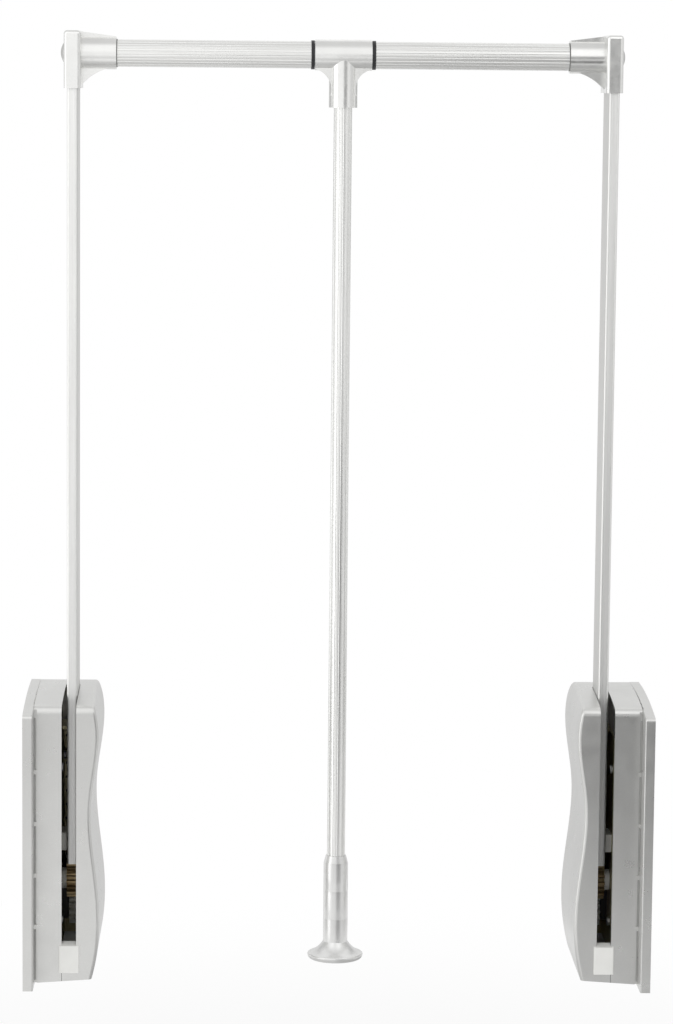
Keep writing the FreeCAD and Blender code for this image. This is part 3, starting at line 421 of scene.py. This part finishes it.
def handle_silver():
    """Silver plating on moulded plastic: smooth, with a clear coat and slight flow marks."""
    made = Finish("silver plating on plastic", metallic=0.80, slot_name="silver_handle")
    made.colour(made.mottled(size=0.03, detail=2.0, tints=handle_tints))
    made.roughness(size=0.010, detail=3.0, smooth=0.28, rough=0.36)
    made.shader.inputs["Coat Weight"].default_value = 0.12
    made.shader.inputs["Coat Roughness"].default_value = 0.15
    flow = made.bump(made.noise(size=0.010, detail=2.0), height=0.00003)
    made.bump(made.noise(size=0.003, detail=2.0), height=0.000004, under=flow)
    return made


def drawn_aluminium(name, along, smooth, rough, tints):
    """Anodised aluminium: streaks drawn out along the tube, in tint, roughness and bump."""
    made = Finish(name, metallic=0.92, slot_name="aluminium")
    drawn_out = 0.02
    stretch = tuple(drawn_out if axis == along else 1.0 for axis in "xyz")
    streaks = made.noise(size=0.0024, detail=3.0, stretch=stretch)
    made.colour(made.mixed(made.spread(streaks, low=0.0, high=1.0), *tints))
    made.roughness(size=0.006, detail=3.0, smooth=smooth, rough=rough, stretch=stretch)
    lines = made.bump(streaks, height=0.000010)
    made.bump(made.noise(size=0.0012, detail=2.0), height=0.000002, under=lines)
    return made


def shade_arm_sides(made):
    """Paints shade on the two broad sides of an arm: the painted shade goes by the distance from the arm's
    middle plane.
    """
    parts = made.node("ShaderNodeSeparateXYZ")
    made.link(made.place, parts.inputs["Vector"])
    reach = made.reckoned("ABSOLUTE", parts.outputs["X"])
    offset = made.reckoned("SUBTRACT", reach, arm_x)
    distance = made.reckoned("ABSOLUTE", offset)
    painted_shade = made.spread(distance, low=0.0, high=1.0, start=arm_half - arm_shade_start,
                       end=arm_half - arm_shade_full)
    bright = made.shader.inputs["Base Color"].links[0].from_socket
    made.colour(made.mixed(painted_shade, bright, arm_side_shade_tint))


def moulded_nylon(name, slot_name, tints, smooth=0.42, rough=0.56):
    """Moulded nylon: a fine spark-eroded grain and faint flow marks."""
    made = Finish(name, metallic=0.0, slot_name=slot_name)
    made.colour(made.mottled(size=0.015, detail=3.0, tints=tints))
    made.roughness(size=0.003, detail=3.0, smooth=smooth, rough=rough)
    flow = made.bump(made.noise(size=0.006, detail=2.0), height=0.00002)
    made.bump(made.noise(size=0.0004, detail=2.0), height=0.000010, under=flow)
    return made


def yellow_zinc():
    """Yellow passivated zinc: patches of straw, brown and a little green over a rolled grain."""
    made = Finish("yellow passivated zinc", metallic=0.85, slot_name="yellow_zinc")
    straw = made.mottled(size=0.012, detail=4.0, tints=straw_tints)
    green = made.spread(made.noise(size=0.020, detail=3.0), low=0.0, high=0.5, start=0.5, end=0.75)
    made.colour(made.mixed(green, straw, green_tint))
    made.roughness(size=0.003, detail=4.0, smooth=0.28, rough=0.48)
    made.bump(made.noise(size=0.0008, detail=3.0), height=0.00002)
    return made


def plain_steel(name, slot_name, tints, smooth, rough, grain):
    """Steel with a skin of zinc or oil: spangled tint, mottled roughness and a fine grain."""
    made = Finish(name, metallic=0.9, slot_name=slot_name)
    made.colour(made.mottled(size=0.006, detail=4.0, tints=tints))
    made.roughness(size=0.002, detail=4.0, smooth=smooth, rough=rough)
    made.bump(made.noise(size=grain, detail=3.0), height=0.000010)
    return made


silver = silver_paint()
nickel = plated_zinc()
handle = handle_silver()
arm_aluminium = drawn_aluminium(
    "aluminium of the arms", along="z", smooth=0.40, rough=0.50, tints=arm_tints)
rod_aluminium = drawn_aluminium(
    "aluminium of the pull rod", along="z", smooth=0.26, rough=0.36, tints=rod_tints)
rail_aluminium = drawn_aluminium(
    "aluminium of the rail", along="x", smooth=0.26, rough=0.36, tints=rail_tints)
# Painted shade on the broad sides of the arms
shade_arm_sides(arm_aluminium)
white_nylon = moulded_nylon("white nylon", "white_nylon", white_tints, smooth=0.38, rough=0.52)
# Dark nylon of real parts; on the cover seams its dark is painted shade
dark_nylon = moulded_nylon("dark nylon and seam shade", "dark_nylon", dark_tints)
# Grey of painted shade at the mouths of the rail's sockets
socket_shade_grey = moulded_nylon("painted socket shade", "dark_nylon", socket_shade_tints)
# Grey of painted shade in the housing groove
groove_shade_grey = moulded_nylon("painted groove shade", "dark_nylon", groove_shade_tints)
black_ring = moulded_nylon("black ring", "black_ring", black_tints, smooth=0.40, rough=0.52)
brass_zinc = yellow_zinc()
zinc_steel = plain_steel(
    "zinc plated steel", "steel", zinc_tints, smooth=0.28, rough=0.42, grain=0.0008)
dark_steel = plain_steel(
    "oiled black steel", "dark_steel", oiled_tints, smooth=0.32, rough=0.50, grain=0.0005)
olive_steel = plain_steel(
    "olive passivated steel", "steel", olive_tints, smooth=0.30, rough=0.46, grain=0.0008)

side_finishes = {
    "wall_plate": silver, "outer_cover": silver, "inner_cover": silver, "cover_screws": zinc_steel,
    "chassis": olive_steel, "chassis_screws": zinc_steel, "pivot_axle": zinc_steel, "axle_clip": dark_steel,
    "pivot_bushes": white_nylon, "arm_lever": brass_zinc, "arm_tube": arm_aluminium,
    "arm_rivets": zinc_steel, "arm_guides": white_nylon, "rack": white_nylon, "rack_guide": dark_nylon,
    "lift_spring": dark_steel, "damper_body": dark_steel, "damper_rod": zinc_steel, "bumper": white_nylon,
    "elbow": nickel, "elbow_screw": zinc_steel, "elbow_cap": nickel, "rail_tube": rail_aluminium,
    "rail_plug": dark_nylon, "rail_ring": black_ring,
}
middle_finishes = {
    "rail_core": zinc_steel, "tee": nickel, "tee_screw": dark_steel, "pull_rod": rod_aluminium,
    "grip": handle, "knob": handle,
}


# Pieces on their bodies
def paint_node(name, finish):
    """Puts a finish in every material slot of a CAD node's object."""
    for material_slot in nodes[name].material_slots:
        material_slot.material = finish.material


def add_piece(piece, finish, body, *replaced):
    """Paints a new piece, sets it on its body and hides the solids that it stands for."""
    piece.data.materials.append(finish.material)
    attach(piece, body)
    if replaced:
        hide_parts(*replaced)


for node_name, finish in middle_finishes.items():
    paint_node(node_name, finish)
for side in hands:
    for node_name, finish in side_finishes.items():
        paint_node(side + "_" + node_name, finish)

# Springs
for side, hand in hands.items():
    coil = coil_spring(side + "_coil", hand * spring_x)
    add_piece(coil, dark_steel, "housings", side + "_lift_spring")
    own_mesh(coil)

# Grooves, seams and rings: strips and rings of painted shade in these gaps
for side, hand in hands.items():
    # A pale grey strip at the groove's floor: painted shade in the groove
    near, far = sorted(hand * x for x in groove_x)
    strip = flat_bar(side + "_groove_shade_strip", (near, groove_y[0], groove_z[0]),
                     (far, groove_y[1], groove_z[1]))
    add_piece(strip, groove_shade_grey, "housings")
    bumper_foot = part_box(side + "_bumper")[0][2]
    # A dark strip along the parting line of the covers: painted shade of the seam's gap
    seam = flat_bar(side + "_cover_seam_shade", (hand * seam_x - seam_half, seam_y[0], seam_foot),
                    (hand * seam_x + seam_half, seam_y[1], bumper_foot))
    add_piece(seam, dark_nylon, "housings")
    tube_low, tube_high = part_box(side + "_rail_tube")
    elbow_low, elbow_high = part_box(side + "_elbow")
    mouth = elbow_high[0] if hand < 0.0 else elbow_low[0]
    rail_radius = 0.5 * (tube_high[2] - tube_low[2])
    # A grey ring at each socket's mouth: painted shade of the gap between socket and rail
    ring = ring_about_x(side + "_socket_shade_ring", mouth - hand * ring_wire,
                        0.5 * (tube_low[1] + tube_high[1]), 0.5 * (tube_low[2] + tube_high[2]),
                        rail_radius + ring_wire - ring_seat, ring_wire)
    add_piece(ring, socket_shade_grey, "swing_frame")

# Set screw
screw_low, screw_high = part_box("tee_screw")
set_screw = socket_screw(
    "set_screw", 0.5 * (screw_low[0] + screw_high[0]), 0.5 * (screw_low[2] + screw_high[2]),
    screw_low[1], screw_high[1], 0.5 * (screw_high[0] - screw_low[0]))
add_piece(set_screw, dark_steel, "pull_handle", "tee_screw")


# Studio
def white_room():
    """White for the eye, for gloss and for glass; a softer level for the light that falls on things."""
    world = bpy.data.worlds.new("white room")
    bpy.context.scene.world = world
    world.use_nodes = True
    tree = world.node_tree
    background = tree.nodes["Background"]
    path = tree.nodes.new("ShaderNodeLightPath")
    seen = path.outputs["Is Camera Ray"]
    for name in ("Is Glossy Ray", "Is Transmission Ray"):
        larger = tree.nodes.new("ShaderNodeMath")
        larger.operation = "MAXIMUM"
        tree.links.new(seen, larger.inputs[0])
        tree.links.new(path.outputs[name], larger.inputs[1])
        seen = larger.outputs[0]
    level = tree.nodes.new("ShaderNodeMapRange")
    level.inputs["To Min"].default_value = room_level
    level.inputs["To Max"].default_value = backdrop_level
    tree.links.new(seen, level.inputs["Value"])
    tree.links.new(level.outputs["Result"], background.inputs["Strength"])
    background.inputs["Color"].default_value = (1.0, 1.0, 1.0, 1.0)


def soft_box(name, place, size, radiance):
    """A rectangular lamp of that radiance that faces the lamps' target and isn't seen itself.

    A flat lamp's watts are its radiance times pi times its area.
    """
    lamp = bpy.data.lights.new(name, "AREA")
    lamp.shape = "RECTANGLE"
    lamp.size, lamp.size_y = size
    lamp.energy = radiance * pi * size[0] * size[1]
    box = bpy.data.objects.new(name, lamp)
    box.location = place
    box.rotation_euler = (Vector(lamp_target) - Vector(place)).to_track_quat("-Z", "Y").to_euler()
    box.visible_camera = False
    box.visible_glossy = False
    bpy.context.scene.collection.objects.link(box)


def glow_over(material, under, share, level):
    """Lays a glow of that grey over the shader under it, as much as the share says."""
    material.cycles.emission_sampling = "NONE"
    tree = material.node_tree
    glow = tree.nodes.new("ShaderNodeEmission")
    glow.inputs["Color"].default_value = (level, level, level, 1.0)
    mix = tree.nodes.new("ShaderNodeMixShader")
    tree.links.new(share, mix.inputs["Fac"])
    tree.links.new(under, mix.inputs[1])
    tree.links.new(glow.outputs["Emission"], mix.inputs[2])
    tree.links.new(mix.outputs["Shader"], tree.nodes["Material Output"].inputs["Surface"])


def grey_flag(name, corner, across, along, level, soft):
    """A flat panel of that grey that only gloss sees, as a studio flag, or a card where it is bright.

    A point is the corner plus a share of each side. Its cover is the product of soft steps from the
    four edges, each over its own share of the side: start and end across, start and end along.
    """
    share = np.linspace(0.0, 1.0, flag_points)
    u, v = np.meshgrid(share, share)
    points = np.array(corner) + u[..., None] * np.array(across) + v[..., None] * np.array(along)
    cover = soft_step(u / soft[0]) * soft_step((1.0 - u) / soft[1])
    cover = cover * soft_step(v / soft[2]) * soft_step((1.0 - v) / soft[3])
    flag = put_mesh(name, points, grid_faces(flag_points, flag_points))
    flag.data.attributes.new("cover", "FLOAT", "POINT").data.foreach_set("value", cover.ravel())
    material = bpy.data.materials.new(name)
    material.use_nodes = True
    tree = material.node_tree
    tree.nodes.remove(tree.nodes["Principled BSDF"])
    clear = tree.nodes.new("ShaderNodeBsdfTransparent")
    painted = tree.nodes.new("ShaderNodeAttribute")
    painted.attribute_name = "cover"
    glow_over(material, clear.outputs["BSDF"], painted.outputs["Fac"], level)
    flag.data.materials.append(material)
    flag.visible_camera = False
    flag.visible_diffuse = False
    flag.visible_transmission = False
    flag.visible_shadow = False


def pale_floor():
    """A disc of rings, whose radius is a power of the ring's share of the way out.

    Its colour goes over softly into the white of the room with the distance from the middle.
    """
    rings = 24
    around = 96
    radius = floor_reach * (np.arange(rings) / (rings - 1.0)) ** floor_crowding
    angle = full_turn(around)
    points = np.stack((radius[:, None] * np.cos(angle), -radius[:, None] * np.sin(angle),
                       np.full((rings, around), floor_height)), axis=-1)
    floor = put_mesh("floor", points, grid_faces(rings, around, wrap_columns=True))
    material = bpy.data.materials.new("pale floor")
    material.use_nodes = True
    tree = material.node_tree
    shader = tree.nodes["Principled BSDF"]
    shader.inputs["Base Color"].default_value = (floor_grey, floor_grey, floor_grey, 1.0)
    shader.inputs["Roughness"].default_value = floor_roughness
    length = tree.nodes.new("ShaderNodeVectorMath")
    length.operation = "LENGTH"
    tree.links.new(tree.nodes.new("ShaderNodeTexCoord").outputs["Object"], length.inputs[0])
    fade = tree.nodes.new("ShaderNodeMapRange")
    fade.interpolation_type = "SMOOTHSTEP"
    fade.inputs["From Min"].default_value = floor_fade[0]
    fade.inputs["From Max"].default_value = floor_fade[1]
    fade.inputs["To Min"].default_value = floor_least_white
    tree.links.new(length.outputs["Value"], fade.inputs["Value"])
    glow_over(material, shader.outputs["BSDF"], fade.outputs["Result"], backdrop_level)
    floor.data.materials.append(material)


def place_camera():
    """Camera axes from yaw, pitch and roll: ahead is +Y turned to +X by yaw and dipped by pitch."""
    yaw, pitch, roll = radians(camera_yaw), radians(camera_pitch), radians(camera_roll)
    level_ahead = Vector((sin(yaw), cos(yaw), 0.0))
    level_right = Vector((cos(yaw), -sin(yaw), 0.0))
    plumb = Vector((0.0, 0.0, 1.0))
    ahead = level_ahead * cos(pitch) - plumb * sin(pitch)
    above = plumb * cos(pitch) + level_ahead * sin(pitch)
    right = level_right * cos(roll) + above * sin(roll)
    up = above * cos(roll) - level_right * sin(roll)
    lens = bpy.data.cameras.new("camera")
    lens.sensor_width = sensor_size
    lens.lens = focal_pixels / picture_height * sensor_size
    lens.clip_end = camera_reach
    camera = bpy.data.objects.new("camera", lens)
    turn = Matrix((right, up, -ahead)).transposed()
    camera.matrix_world = Matrix.Translation(camera_place) @ turn.to_4x4()
    bpy.context.scene.collection.objects.link(camera)
    bpy.context.scene.camera = camera


white_room()
soft_box("key lamp", key_place, key_size, key_level)
soft_box("fill lamp", fill_place, fill_size, fill_level)
for flag_row in studio_flags:
    grey_flag(*flag_row)
pale_floor()
place_camera()
bpy.context.scene.view_settings.view_transform = "Standard"
